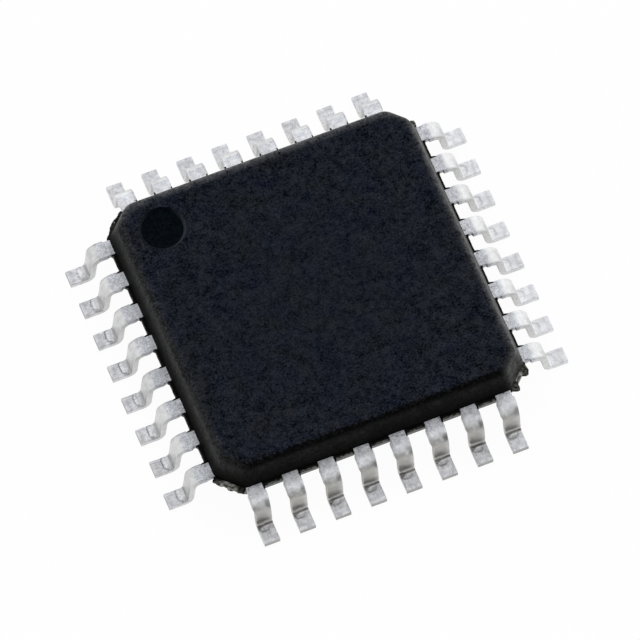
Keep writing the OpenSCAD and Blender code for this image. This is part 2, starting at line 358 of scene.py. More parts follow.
def resin_shelf(turn, span, root, reach, heights, seed, rough, broken, steps, undercut=0.0, ends=(1, 1)):
    """A thin closed run-out of resin, as its points, faces and zones: reach gives its outer edge at each v.

    The three numbers in broken are its fleck on the face and the top, and the width of its dark ends.
    The two in ends are the shares of their height that the webs at the low and high v climb.
    """
    z_low, z_high = heights
    chamfer = SHELF_CHAMFER * min(z_high - z_low, FLASH_T)
    points, zones = [], []
    for v in np.linspace(*span, steps + 1):
        out = max(reach(v) + ragged(v, seed, rough), root + 4 * chamfer)
        web = ends[v > sum(span) / 2] * web_share(v, span, broken[2])
        face_fleck = broken[0] * (1 - WEB_FACE_CLEAN * web)
        top_fleck = broken[1] * (1 - web)
        top_z = z_high + web * max(0, WEB_TOP - z_high)
        lift = ragged(v, seed + 3, 0.5 * rough)
        section = (
            (root, z_low, 0),
            (max(root, out - 2 * chamfer - undercut), z_low, face_fleck),
            (out, z_low + chamfer + undercut + lift, face_fleck),
            (out, top_z - chamfer + lift, face_fleck),
            (out - chamfer, top_z + lift, top_fleck),
            (root, top_z, top_fleck),
        )
        points += [(*turned(u, v, turn), z) for u, z, fleck in section]
        zones += [(0, 0, fleck) for u, z, fleck in section]
    return points, tube_faces(steps + 1, len(section)), zones


def lead_gap_edge(span, flash_out, webs):
    """Outer edge of the flash between two leads, which runs further out along their sides."""

    def reach(v):
        web_out = webs[v > sum(span) / 2]
        return WALL_D + flash_out + web_out * web_share(v, span, WEB_W)

    return reach


def corner_edge(least, lumps):
    """Outer edge of the resin at a cut corner: an even strip with lumps on it."""

    def reach(v):
        heights = [height * (1 - ((v - place) / half) ** 2) for place, height, half in lumps]
        return CORNER_D + max([least] + heights)

    return reach


def body_flash():
    """Every run-out of resin: one between each two leads, one at each cut corner, and the broken gate."""
    shelves = []
    heights = (PARTING - FLASH_T / 2, PARTING + FLASH_T / 2)
    for side in range(SIDES):
        ends = [min(1, out / WEB_FULL) for out in WEB_OUT[side]]
        for k in range(PER_SIDE - 1):
            low = (k - (PER_SIDE - 1) / 2) * LEAD_PITCH + LEAD_W / 2
            span = (low, low + LEAD_PITCH - LEAD_W)
            edge = lead_gap_edge(span, FLASH_OUT[side], WEB_OUT[side])
            shelves.append(resin_shelf(
                side * QUARTER, span, WALL_D - WALL_INSET, edge, heights,
                SIDE_SEEDS * side + k, FLASH_ROUGH, FLASH_FLECK, FLASH_STEPS, ends=ends,
            ))
    half = CORNER_LEN / 2
    root = CORNER_D - WALL_INSET
    for corner, (least, lumps, thick, broken) in enumerate(CORNER_RESIN):
        turn = (corner + 0.5) * QUARTER
        edge = corner_edge(least, lumps)
        shelves.append(resin_shelf(
            turn, (-half, half), root, edge, (PARTING - thick / 2, PARTING + thick / 2),
            CORNER_SEED + corner, CORNER_ROUGH, broken, CORNER_RESIN_STEPS,
        ))
        if corner == GATE_CORNER:
            shelves.append(resin_shelf(
                turn, (-GATE_W / 2, GATE_W / 2), root, edge, (PARTING - GATE_T, PARTING),
                GATE_SEED, GATE_ROUGH, broken, GATE_STEPS, GATE_UNDERCUT,
            ))
    return shelves


def package_body(materials):
    """The moulding and all its run-outs of resin in one piece, with a slot for each finish."""
    points, faces, zones, slots = body_shell()
    for shelf_points, shelf_faces, shelf_zones in body_flash():
        start = len(points)
        points += shelf_points
        faces += [tuple(start + k for k in face) for face in shelf_faces]
        zones += shelf_zones
        slots += [BROKEN_SLOT] * len(shelf_faces)
    return add_piece("moulded_body", points, faces, materials, "zone", zones, slots)


# The leads' meshes

FLAT_STEPS = 39
BEND_STEPS = 18
RISER_STEPS = 10
HEEL_STEPS = 22
FOOT_STEPS = 35
TOP_COLUMNS = 18
BOTTOM_COLUMNS = 4
ROUND_STEPS = 3
STRIP_SLOT, END_SLOT = range(2)


def bend_stations(middle, radius, start, end, steps, level):
    """Stations round a bend after its start, with no slope where the angle is the level one."""
    u, z = middle
    angles = np.linspace(start, end, steps + 1)[1:]
    return [(u + radius * math.cos(angle), z + radius * math.sin(angle), angle - level) for angle in angles]


def lead_path():
    """Stations along the middle of a formed lead from its inner tip to its foot: u, z and slope."""
    heel_mid = HEEL_R + LEAD_T / 2
    bend_mid = BEND_R + LEAD_T / 2
    heel_u = TIP_END - FOOT_FLAT
    low = np.array([
        heel_u - heel_mid * math.cos(RISER_LEAN),
        LEAD_T + HEEL_R - heel_mid * math.sin(RISER_LEAN),
    ])
    high_z = PARTING - bend_mid * (1 - math.sin(RISER_LEAN))
    length = (high_z - low[1]) / math.cos(RISER_LEAN)
    high = low + length * np.array([-math.sin(RISER_LEAN), math.cos(RISER_LEAN)])
    bend_u = high[0] - bend_mid * math.cos(RISER_LEAN)
    stations = [(u, PARTING, 0.0) for u in (FINGER_TIP, (FINGER_TIP + KNEE) / 2, KNEE)]
    stations += [(u, PARTING, 0.0) for u in np.linspace(KNEE, bend_u, FLAT_STEPS + 1)[1:]]
    stations += bend_stations(
        (bend_u, PARTING - bend_mid), bend_mid, QUARTER, RISER_LEAN, BEND_STEPS, QUARTER,
    )
    stations += [(*point, RISER_LEAN - QUARTER) for point in np.linspace(high, low, RISER_STEPS + 1)[1:]]
    stations += bend_stations(
        (heel_u, LEAD_T + HEEL_R), heel_mid, math.pi + RISER_LEAN, 3 * QUARTER, HEEL_STEPS, 3 * QUARTER,
    )
    stations += [(u, LEAD_T / 2, 0.0) for u in np.linspace(heel_u, TIP_END, FOOT_STEPS + 1)[1:]]
    return stations


LEAD_PATH = lead_path()
LEAD_RUN = np.concatenate([[0], np.cumsum([
    math.hypot(b[0] - a[0], b[1] - a[1]) for a, b in zip(LEAD_PATH, LEAD_PATH[1:])
])])
WALL_RUN = WALL_D - FINGER_TIP
FOOT_RUN = LEAD_RUN[-1] - FOOT_FLAT

# The forming punch's mark at the heel, for the -X, -Y, +X and +Y rows:
# start past the heel, length, middle across the strip and half width
PUNCH = (
    (0.02, 0.1, -0.03, 0.16),
    (-0.08, 0.155, -0.04, 0.125),
    (-0.06, 0.155, 0.0, 0.125),
    (-0.06, 0.155, 0.0, 0.125),
)
PUNCH_DEPTH = (0.008, 0.014)
PUNCH_RIM = 1.2  # where the bowl starts, in an oval that is one at the mark's edge
PUNCH_SLOPE = 0.5
PUNCH_HEEL_SLOPE = 0.03


def lead_section(half_w, half_t):
    """Rounded oblong across a lead: (v, n) points round it, with n up out of the strip's top."""
    r = LEAD_EDGE_R
    points = [(v, half_t) for v in np.linspace(-half_w + r, half_w - r, TOP_COLUMNS + 1)]
    corners = (
        (half_w - r, half_t - r, QUARTER), (half_w - r, r - half_t, 0),
        (r - half_w, r - half_t, -QUARTER), (r - half_w, half_t - r, -math.pi),
    )
    for v, n, start in corners:
        for step in range(1, ROUND_STEPS + 1):
            angle = start - QUARTER * step / ROUND_STEPS
            points.append((v + r * math.cos(angle), n + r * math.sin(angle)))
        if start == 0:
            points += [(x, -half_t) for x in np.linspace(half_w - r, r - half_w, BOTTOM_COLUMNS + 1)[1:]]
    return points[:-1]


def finger_share(u):
    """None at the inner tip of a lead's finger, and one from its knee outwards."""
    return min(1, max(0, (u - FINGER_TIP) / (KNEE - FINGER_TIP)))


def finger_middle(place, u):
    """Middle of a lead along its side: the inner finger fans in towards the paddle."""
    return place * (FINGER_TIP_PITCH + (LEAD_PITCH - FINGER_TIP_PITCH) * finger_share(u))


def finger_width(u):
    """Width of a lead, which narrows to the tip of its finger."""
    return FINGER_TIP_W + (LEAD_W - FINGER_TIP_W) * finger_share(u)


def dam_stub(run, edge):
    """Share of the dam bar's stub at a run from the wall: a short slope to it and a long one after."""
    start, length = STUB_FALL[edge]
    return max(0, min(1, (run - DAM_IN) / STUB_RISE, (DAM_IN + DAM_W + start + length - run) / length))


def heel_dent(run, v, punch, depth):
    """Bowl that the forming punch leaves on top of the heel, half an oval with a short steep rim."""
    start, length, middle, half_w = punch
    along = run - FOOT_RUN - start
    reach = ((v - middle) / half_w) ** 4 + (along / length) ** 2
    from_rim = (PUNCH_RIM - reach) / PUNCH_SLOPE
    from_heel = (along + PUNCH_HEEL_SLOPE) / PUNCH_HEEL_SLOPE
    return -depth * max(0, min(1, from_rim, from_heel))


def lead(name, index, materials, rng):
    """One formed lead with its own stubs and punch mark, turned to its place in its row."""
    side, k = divmod(index, PER_SIDE)
    place = k - (PER_SIDE - 1) / 2
    turn = math.pi + side * QUARTER
    stub = [rng.uniform(*spread) for spread in STUB_SPREAD]
    depth = rng.uniform(*PUNCH_DEPTH)
    points, strip = [], []
    for (u, z, slope), run in zip(LEAD_PATH, LEAD_RUN):
        middle = finger_middle(place, u)
        stubs = [DAM_OUT * stub[edge] * dam_stub(run - WALL_RUN, edge) for edge in (0, 1)]
        for v, n in lead_section(finger_width(u) / 2, LEAD_T / 2):
            if any(stubs) and abs(v) > LEAD_W / 2 - 2 * LEAD_EDGE_R:
                v += math.copysign(stubs[v < 0], v)
            lift = heel_dent(run, v, PUNCH[side], depth) if n == LEAD_T / 2 else 0
            out = u - (n + lift) * math.sin(slope)
            up = z + (n + lift) * math.cos(slope)
            points.append((*turned(out, middle + v, turn), up))
            strip.append((run - WALL_RUN, v, 2 * n / LEAD_T))
    faces = tube_faces(len(LEAD_PATH), len(points) // len(LEAD_PATH))
    slots = [STRIP_SLOT] * (len(faces) - 2) + [END_SLOT, END_SLOT]
    return add_piece(name, points, faces, materials, "strip", strip, slots)


# Materials, with linear colours, and noises in features to a millimetre

NOISE_SPAN = (0.3, 0.7)  # nearly all of a noise lies between these


class Nodes:
    """A cleared node tree. Its calls take numbers or sockets, add nodes and give their output sockets."""

    def __init__(self, tree):
        self.tree = tree
        tree.nodes.clear()

    def add(self, kind, inputs=None, **settings):
        """A node with its settings, and with each input linked to a socket or set to a value."""
        node = self.tree.nodes.new(kind)
        for key, value in settings.items():
            setattr(node, key, value)
        for key, value in (inputs or {}).items():
            if isinstance(value, bpy.types.NodeSocket):
                self.tree.links.new(value, node.inputs[key])
            else:
                node.inputs[key].default_value = value
        return node

    def maths(self, operation, first, *others):
        """Numbers put together one after another."""
        for other in others:
            first = self.add("ShaderNodeMath", {0: first, 1: other}, operation=operation).outputs[0]
        return first

    plus = partialmethod(maths, "ADD")
    minus = partialmethod(maths, "SUBTRACT")
    times = partialmethod(maths, "MULTIPLY")
    over = partialmethod(maths, "DIVIDE")
    power = partialmethod(maths, "POWER")
    most = partialmethod(maths, "MAXIMUM")
    least = partialmethod(maths, "MINIMUM")

    def vectors(self, operation, first, second):
        """Two vectors or colours put together."""
        return self.add("ShaderNodeVectorMath", {0: first, 1: second}, operation=operation).outputs[0]

    def scaled(self, colour, factor):
        """Colour times a number."""
        return self.add("ShaderNodeVectorMath", {0: colour, 3: factor}, operation="SCALE").outputs[0]

    def split(self, vector):
        """The three numbers of a vector."""
        return self.add("ShaderNodeSeparateXYZ", {"Vector": vector}).outputs

    def ramp(self, value, low, high, to_low=0.0, to_high=1.0):
        """A clamped straight change from one range to another."""
        return self.add("ShaderNodeMapRange", {
            "Value": value, "From Min": low, "From Max": high, "To Min": to_low, "To Max": to_high,
        }).outputs["Result"]

    def spread(self, noisy, low, high):
        """A noise brought to a range."""
        return self.ramp(noisy, *NOISE_SPAN, low, high)

    def band(self, value, rise_from, rise_to, fall_from, fall_to, end=None):
        """One inside a stretch of values, and none outside it. Another value may tell where it ends."""
        falling = value if end is None else end
        return self.least(self.ramp(value, rise_from, rise_to), self.ramp(falling, fall_from, fall_to, 1, 0))

    def spot(self, value, other, at, other_at, radius):
        """One in the middle of a round spot in two values, and none outside it."""
        away = self.power(self.minus(value, at), 2)
        other_away = self.power(self.minus(other, other_at), 2)
        return self.ramp(self.plus(away, other_away), 0, radius ** 2, 1, 0)

    def mix(self, share, first, second):
        """Colour that goes from first to second."""
        return self.add("ShaderNodeMix", {0: share, 6: first, 7: second}, data_type="RGBA").outputs[2]


class Look(Nodes):
    """A procedural material, with the surface point in millimetres in the frame of the part."""

    def __init__(self, name):
        self.material = bpy.data.materials.new(name)
        self.material.use_nodes = True
        super().__init__(self.material.node_tree)
        point = self.add("ShaderNodeTexCoord").outputs["Object"]
        self.place = self.vectors("MULTIPLY", point, (1 / MM,) * 3)

    def attribute(self, name):
        """The vector that a mesh keeps at its points."""
        return self.add("ShaderNodeAttribute", attribute_name=name).outputs["Vector"]

    def noise_at(self, scale, detail=3.0, roughness=0.55, vector=None):
        """Noise with about scale features to a millimetre, or to a unit of another vector."""
        return self.add("ShaderNodeTexNoise", {
            "Vector": self.place if vector is None else vector,
            "Scale": scale, "Detail": detail, "Roughness": roughness,
        }).outputs["Fac"]

    def finish(self, colour, roughness, relief, specular=0.5, metallic=0.0):
        """The material with a Principled shader: what varies is linked, and even levels are set on it.

        The three values in relief are the bump's height, its strength and its depth in millimetres.
        """
        height, strength, depth = relief
        bump = self.add("ShaderNodeBump", {"Height": height, "Strength": strength, "Distance": depth * MM})
        shader = self.add("ShaderNodeBsdfPrincipled", {
            "Base Color": colour, "Roughness": roughness, "Normal": bump.outputs["Normal"],
            "Specular IOR Level": specular, "Metallic": metallic,
        })
        self.add("ShaderNodeOutputMaterial", {"Surface": shader.outputs["BSDF"]})
        return self.material


def zone_parts(look):
    """Reach of the grain, painted light and fleck at each point of the body."""
    return look.split(look.attribute("zone"))


TOP_NAVY = (0.009, 0.0113, 0.0181, 1)
TOP_BROWN = (0.0106, 0.0123, 0.0159, 1)
TOP_PATCHES = 1.4
TOP_SPECKLE = (0.0105, 0.0112, 0.0135)
FINE_GRAINS = 22
FINE_GRAIN_SHARE = 0.66
COARSE_GRAINS = ((9, 0.48), (3.2, 0.2))  # features to a millimetre, and share
OUTER_GRAINS = (1.8, 3.8, 1.0, 1.4)  # way out from the middle of the top, and strength of the grains there
EDGE_DARK = (0.0003, 0.0003, 0.0003, 1)
EDGE_PALE = (0.007, 0.0073, 0.0072, 1)
EDGE_HIGHLIGHT_TINT = (0.93, 0.94, 0.95)
EDGE_RAGGED = 0.35
DULL = 0.03


def moulding_top_material():
    """Black filled epoxy as moulded: a grained top in navy and brown patches, and smooth edges with painted
    light.
    """
    look = Look("moulding_compound")
    reach, highlight = zone_parts(look)[:2]
    fine = look.noise_at(FINE_GRAINS, 3, 0.6)
    ragged_reach = look.plus(reach, look.spread(look.noise_at(14), -EDGE_RAGGED, EDGE_RAGGED))
    grained = look.ramp(ragged_reach, 0.22, 0.44)
    top = look.mix(look.ramp(look.noise_at(TOP_PATCHES, 4), 0.4, 0.64), TOP_NAVY, TOP_BROWN)
    grains = look.ramp(fine, 0.34, 0.66, -FINE_GRAIN_SHARE, FINE_GRAIN_SHARE)
    for scale, share in COARSE_GRAINS:
        grains = look.plus(grains, look.spread(look.noise_at(scale, 2), -share, share))
    from_middle = look.add("ShaderNodeVectorMath", {0: look.place}, operation="LENGTH").outputs["Value"]
    grains = look.times(grains, look.ramp(from_middle, *OUTER_GRAINS))
    top = look.vectors("ADD", top, look.scaled(TOP_SPECKLE, grains))
    edge = look.mix(look.ramp(fine, 0.46, 0.7), EDGE_DARK, EDGE_PALE)
    # Painted light on the rounded edges, strongest on the sides that face the lamps
    highlight_tint = look.scaled(EDGE_HIGHLIGHT_TINT, look.ramp(grains, -1.3, 1.3, 0.3, 1.7))
    colour = look.vectors("ADD", look.mix(grained, edge, top), look.scaled(highlight_tint, highlight))
    roughness = look.plus(look.ramp(grained, 0, 1, 0.42, 0.8), look.spread(fine, -0.06, 0.06))
    strength = look.ramp(grained, 0, 1, 0.12, 0.8)
    return look.finish(colour, roughness, (fine, strength, 0.02), DULL)


WALL_GRAINS = 15
WALL_DARK = (0.0035, 0.0036, 0.0036, 1)
WALL_PALE = (0.016, 0.0156, 0.0146, 1)
WALL_STREAKS = 2.5
# Painted shade low on the wall, near the leads
WALL_FOOT_SHADE = (PARTING + 0.05, PARTING + 0.5, 0.15, 1.1)  # heights, and brightness at them
# Painted shade just under the rounded top edge
WALL_HEAD_SHADE = (BODY_TOP - 0.19, BODY_TOP - 0.1, 1.0, 0.45)
WALL_HIGHLIGHT_DIM = (0.4, 0.42, 0.4, 1)
WALL_HIGHLIGHT_BRIGHT = (1.45, 1.46, 1.36, 1)


def moulding_wall_material():
    """The same epoxy on the drafted walls above the parting plane: smoother, dull black, with painted shade
    and light.
    """
    look = Look("moulding_wall")
    fine = look.noise_at(WALL_GRAINS, 4)
    height = look.split(look.place)[2]
    colour = look.mix(look.ramp(fine, 0.35, 0.7), WALL_DARK, WALL_PALE)
    colour = look.scaled(colour, look.ramp(look.noise_at(WALL_STREAKS), 0.35, 0.65, 0.7, 1.25))
    # Painted shade low on the wall near the leads, and just under the rounded top edge
    colour = look.scaled(colour, look.ramp(height, *WALL_FOOT_SHADE))
    colour = look.scaled(colour, look.ramp(height, *WALL_HEAD_SHADE))
    # Painted light on the walls that face the lamps
    highlight_tint = look.mix(look.spread(fine, 0, 1), WALL_HIGHLIGHT_DIM, WALL_HIGHLIGHT_BRIGHT)
    highlight_tint = look.scaled(highlight_tint, look.spread(look.noise_at(6, 2), 0.7, 1.3))
    colour = look.vectors("ADD", colour, look.scaled(highlight_tint, zone_parts(look)[1]))
    return look.finish(colour, look.spread(fine, 0.5, 0.66), (fine, 0.25, 0.015), DULL)


LOWER_DARK = (0.0065, 0.0066, 0.0064, 1)
LOWER_PALE = (0.0125, 0.0122, 0.0115, 1)
POLISHED = 0.5


def moulding_lower_material():
    """The walls below the parting plane and the underside, from the polished lower half of the mould."""
    look = Look("moulding_lower")
    fine = look.noise_at(WALL_GRAINS, 4)
    colour = look.mix(look.ramp(fine, 0.35, 0.7), LOWER_DARK, LOWER_PALE)
    return look.finish(colour, look.spread(fine, 0.34, 0.46), (fine, 0.15, 0.01), POLISHED)


RECESS_DARK = (0.0001, 0.0004, 0.0009, 1)
RECESS_TEAL = (0.0014, 0.0041, 0.0065, 1)
RECESS_PATCHES = 17
RECESS_HIGHLIGHT_TINT = (0.85, 1.0, 1.25)
DEEP = 0.02


def moulding_recess_material():
    """The floor and wall of the index recess, left by a polished pin: deep black, with a painted highlight.
    """
    look = Look("moulding_recess")
    fine = look.noise_at(16, 4)
    patches = look.noise_at(RECESS_PATCHES, 3, 0.65)
    colour = look.mix(look.ramp(patches, 0.37, 0.63), RECESS_DARK, RECESS_TEAL)
    # Painted highlight on the slope of the recess, by its side
    colour = look.vectors("ADD", colour, look.scaled(RECESS_HIGHLIGHT_TINT, zone_parts(look)[1]))
    return look.finish(colour, look.spread(fine, 0.4, 0.52), (fine, 0.2, 0.01), DEEP)


RESIN_BLACK = (0.002, 0.002, 0.002, 1)
RESIN_DARK = (0.008, 0.0075, 0.007, 1)
TORN_DARK = (0.02, 0.019, 0.016, 1)
TORN_WARM = (0.44, 0.42, 0.36, 1)
TORN_COOL = (0.36, 0.37, 0.33, 1)
RESIN_CRUMBS = 13
CRUMBLY = 0.05


def broken_resin_material():
    """Thin resin broken off at the parting plane: black as it was moulded, flecked grey where it tore."""
    look = Look("broken_resin")
    crumbs = look.noise_at(RESIN_CRUMBS, 4, 0.65)
    dark = look.mix(look.ramp(crumbs, 0.4, 0.6), RESIN_BLACK, RESIN_DARK)
    fleck = look.mix(look.ramp(look.noise_at(4), 0.4, 0.6), TORN_WARM, TORN_COOL)
    torn = look.mix(look.ramp(crumbs, 0.42, 0.62), TORN_DARK, fleck)
    colour = look.mix(zone_parts(look)[2], dark, torn)
    return look.finish(colour, look.spread(crumbs, 0.7, 0.9), (crumbs, 0.7, 0.03), CRUMBLY)


# The tin's colours
SMOOTH_DULL = (0.62, 0.617, 0.61, 1)
SMOOTH_PALE = (0.7, 0.697, 0.69, 1)
FOOT_DULL = (0.57, 0.565, 0.59, 1)
FOOT_PALE = (0.7, 0.696, 0.715, 1)
PIT_DARK = (0.46, 0.468, 0.495, 1)
PIT_PALE = (0.72, 0.728, 0.755, 1)
# Painted light: paler tin, row by row
PAINTED_SHINE = (0.9, 0.9, 0.915, 1)
# Painted reflection on the cut sides of the strip
SIDE_FACE_LIGHT = (0.93, 0.93, 0.92, 1)
# Painted shade on the front row's risers
FRONT_SHADE_TINT = (0.475, 0.465, 0.43, 1)
# Burnished tin with a painted highlight, on the floor of the punch mark
PUNCH_HIGHLIGHT = (0.9, 0.9, 0.9, 1)
# Painted highlight along the front row's heels
HEEL_HIGHLIGHT = (0.8, 0.79, 0.76, 1)
# Painted shade, and the colour of dark marks and scratches
SHADE_AND_SCRATCH_DARK = (0.07, 0.065, 0.06, 1)
FLECK = (0.93, 0.93, 0.93, 1)

# Where the tin's painted light, shade and marks lie along the strip, measured from the wall: start, full,
# fade and end
SHOULDER_END = 0.33
FRONT_SHADE_START = 0.44
FRONT_SHADE_BOW = 0.05
FRONT_SHINE = (-0.4, 0.26, 0.9, 1.1)
RIGHT_BEND_SHINE = (0.16, 0.26, 0.28, 0.34)
RIGHT_RISER_SHINE = (0.36, 0.46, 0.7, 0.95)
LEFT_RISER_SHINE = (0.45, 0.6, 0.84, 0.94)
BEND_SHADE = (0.32, 0.43, 0.47, 0.56)
STUB_SHADE = (0.12, 0.16, 0.46, 0.6)
# A dark spot at one edge of the front row's bend
BEND_DARK_SPOT = (0.42, 0.135, 0.11)  # run, place across the strip and radius

# The same, measured from the end of the heel
HEEL_END = FOOT_RUN - WALL_RUN
RISER_SHADE = (-0.52, -0.36, -0.29, -0.255)
SOFT_SHADE = (-0.27, -0.1, -0.1, -0.02)
# Painted highlight along the front row's heels
HEEL_HIGHLIGHT_BAND = (-0.25, -0.225, -0.195, -0.175)
# Painted shade in the bend of the heel
CREASE_SHADE = (-0.175, -0.145, -0.095, -0.05)
TIP_LINE = (FOOT_FLAT - 0.15, FOOT_FLAT - 0.11, FOOT_FLAT - 0.085, FOOT_FLAT - 0.04)
HEEL_SPOT = (0.045, 0.13, 0.06)

# Punch mark's rim (painted shade) and floor (partly painted highlight), in the oval that is one at the
# mark's edge
PUNCH_RIM_BAND = (0.65, 0.95, 1.05, 1.45)
PUNCH_FLOOR = (0.35, 0.8, 0.8, 0)  # from and to, and the share of bright floor at them

ROW_FULL = WALL_D + 0.05  # from here out a point counts as in a row of leads
DRAWN_OUT = (5, 42, 0)  # scratches run along the strip


class Tin(Look):
    """Matte tin over the formed strip, with the places, rows of leads and noises that its layers share."""

    def __init__(self):
        super().__init__("matte_tin")
        strip = self.attribute("strip")
        self.run, self.across, self.top = self.split(strip)
        x, y = self.split(self.place)[:2]
        self.on_left = self.ramp(x, -ROW_FULL, -WALL_D, 1, 0)
        self.in_front = self.ramp(y, -ROW_FULL, -WALL_D, 1, 0)
        self.on_right = self.ramp(x, WALL_D, ROW_FULL)
        self.at_back = self.ramp(y, WALL_D, ROW_FULL)
        self.fine = self.noise_at(28, 4, 0.6)
        self.blotch = self.noise_at(8)
        self.drawn = self.vectors("ADD", self.vectors("MULTIPLY", strip, DRAWN_OUT), self.place)
        self.scratch = self.noise_at(1.0, 2, vector=self.drawn)
        wobble = self.spread(self.blotch, -1, 1)
        self.edge = self.plus(self.run, self.times(wobble, 0.04))
        shift = self.spread(self.noise_at(1.3, 1), -0.03, 0.03)
        self.from_heel = self.plus(self.minus(self.run, HEEL_END), self.times(wobble, 0.015), shift)
        pitted_run = self.plus(self.run, self.times(wobble, 0.015), self.times(self.on_right, 0.1))
        self.pitted = self.ramp(pitted_run, SHOULDER_END - 0.016, SHOULDER_END + 0.016, 1, 0)

    def in_row(self, row, there, elsewhere=1):
        """One number in a row of leads, and another in the other rows."""
        return self.ramp(row, 0, 1, elsewhere, there)


def plain_colour(tin):
    """Tin without its marks: pitted on the shoulder, and smooth on the bends and the foot."""
    patches = tin.ramp(tin.blotch, 0.35, 0.65)
    smooth = tin.mix(patches, SMOOTH_DULL, SMOOTH_PALE)
    foot = tin.mix(patches, FOOT_DULL, FOOT_PALE)
    smooth = tin.mix(tin.ramp(tin.run, HEEL_END - 0.08, HEEL_END), smooth, foot)
    pits = tin.mix(tin.ramp(tin.fine, 0.38, 0.6), PIT_DARK, PIT_PALE)
    return tin.mix(tin.pitted, smooth, pits)


def painted_shine(tin):
    """Share of painted light that makes the tin paler, row by row."""
    towards_back = tin.ramp(tin.across, -0.1, 0.08, 0, 1.5)
    off_front_edge = tin.ramp(tin.across, 0.06, 0.12, 0.9, 0.1)
    amounts = (
        (tin.in_front, tin.band(tin.edge, *FRONT_SHINE)),
        (tin.in_front, tin.ramp(tin.run, HEEL_END, HEEL_END + 0.12, 0, 0.4)),
        (tin.on_right, tin.band(tin.edge, *RIGHT_BEND_SHINE)),
        (tin.on_right, tin.band(tin.run, *RIGHT_RISER_SHINE), towards_back),
        (tin.on_right, tin.ramp(tin.run, HEEL_END - 0.2, HEEL_END - 0.05)),
        (tin.at_back, tin.ramp(tin.run, 0.2, 0.3, 1, 0)),
        (tin.on_left, tin.band(tin.run, *LEFT_RISER_SHINE), off_front_edge),
    )
    return tin.most(0.0, *(tin.times(*factors) for factors in amounts))


def brightness(tin):
    """Brightness: uneven, most of all on shoulders, feet and the front row, and from lead to lead."""
    on_foot = tin.times(tin.ramp(tin.run, HEEL_END - 0.1, HEEL_END), tin.in_row(tin.on_right, 0.5))
    uneven = tin.most(tin.pitted, tin.in_front, on_foot)
    mottle = tin.spread(tin.noise_at(11, 2), -0.16, 0.16)
    mottle = tin.plus(tin.times(mottle, tin.ramp(uneven, 0, 1, 0.45, 1)), 0.98)
    return tin.times(mottle, tin.spread(tin.noise_at(1.1, 1), 0.93, 1.07))


def lit_side_faces(tin):
    """Share of painted reflection on the cut sides of the strip, outside the front row."""
    out = tin.maths("ABSOLUTE", tin.across, 0)
    side_light = tin.ramp(out, LEAD_W / 2 - LEAD_EDGE_R, LEAD_W / 2 - 0.004, 0, 0.3)
    start = tin.minus(tin.run, tin.times(tin.on_left, 0.12))
    return tin.times(side_light, tin.ramp(start, 0.35, 0.5), tin.in_row(tin.in_front, 0))


def front_shade_tint(tin):
    """Share of painted shade on the front row's risers, beige, which starts in a bow."""
    bow = tin.times(tin.power(tin.across, 2), FRONT_SHADE_BOW * (2 / LEAD_W) ** 2)
    below_bend = tin.ramp(tin.plus(tin.edge, bow), FRONT_SHADE_START - 0.03, FRONT_SHADE_START + 0.06)
    above_heel = tin.ramp(tin.run, HEEL_END - 0.12, HEEL_END - 0.04, 1, 0)
    return tin.times(below_bend, above_heel, tin.ramp(tin.across, 0.06, 0.14, 1, 0.6), tin.in_front)


def punch_mark(tin):
    """Shares of painted shade on the rim, and of burnished floor with a painted highlight, of the forming
    punch's mark.
    """
    rows = (tin.on_left, tin.in_front, tin.on_right, tin.at_back)
    start, length, middle, half_w = (
        tin.plus(*(tin.times(row, value) for row, value in zip(rows, values))) for values in zip(*PUNCH)
    )
    along = tin.over(tin.minus(tin.from_heel, start), length)
    sideways = tin.over(tin.minus(tin.across, middle), half_w)
    oval = tin.plus(tin.power(along, 2), tin.power(sideways, 4))
    # Painted shade along the rim of the dent
    rim = tin.times(
        tin.band(oval, *PUNCH_RIM_BAND),
        tin.ramp(along, 0.0, 0.3),
        tin.in_row(tin.on_right, 0.2),
        tin.in_row(tin.in_front, tin.ramp(tin.across, -0.02, 0.06, 1, 0.2)),
        tin.in_row(tin.on_left, tin.ramp(tin.across, -0.12, -0.02, 0.1, 1)),
        tin.ramp(tin.scratch, 0.35, 0.55, 0.3, 1.0),
    )
    # Burnished floor of the dent, with a painted highlight
    punch_highlight = tin.times(
        tin.ramp(oval, *PUNCH_FLOOR),
        tin.ramp(along, 0.05, 0.3),
        tin.in_row(tin.in_front, 0.25),
        tin.in_row(tin.on_right, 0.5),
        tin.ramp(tin.scratch, 0.4, 0.6, 1.0, 0.4),
    )
    return rim, punch_highlight


def riser_shade(tin):
    """Dark lower riser of the front row, which starts higher at one edge of the strip."""
    start = tin.minus(tin.from_heel, tin.ramp(tin.across, -0.1, 0.03, 0, 0.08))
    amount = tin.times(tin.in_front, tin.ramp(tin.across, 0.04, 0.13, 0.7, 0.2))
    return tin.times(tin.band(start, *RISER_SHADE, tin.from_heel), amount)


def soft_shade(tin):
    """Soft shade above the heels of the other rows."""
    return tin.times(
        tin.band(tin.from_heel, *SOFT_SHADE),
        tin.in_row(tin.on_right, 0.1, 0.28),
        tin.in_row(tin.in_front, 0),
        tin.ramp(tin.across, 0.05, 0.12, 1, 0),
    )


def crease_shade(tin):
    """Painted shade in the bend of the heel, which widens to a wedge at one edge in the left and front rows.
    """
    wedge_side = tin.times(tin.across, tin.minus(tin.on_left, tin.in_front))
    end = tin.minus(tin.from_heel, tin.ramp(wedge_side, 0.03, 0.15, 0, 0.1))
    return tin.times(
        tin.band(tin.from_heel, *CREASE_SHADE, end),
        tin.in_row(tin.in_front, 0.85, 0.45),
        tin.in_row(tin.on_right, 0.3),
    )


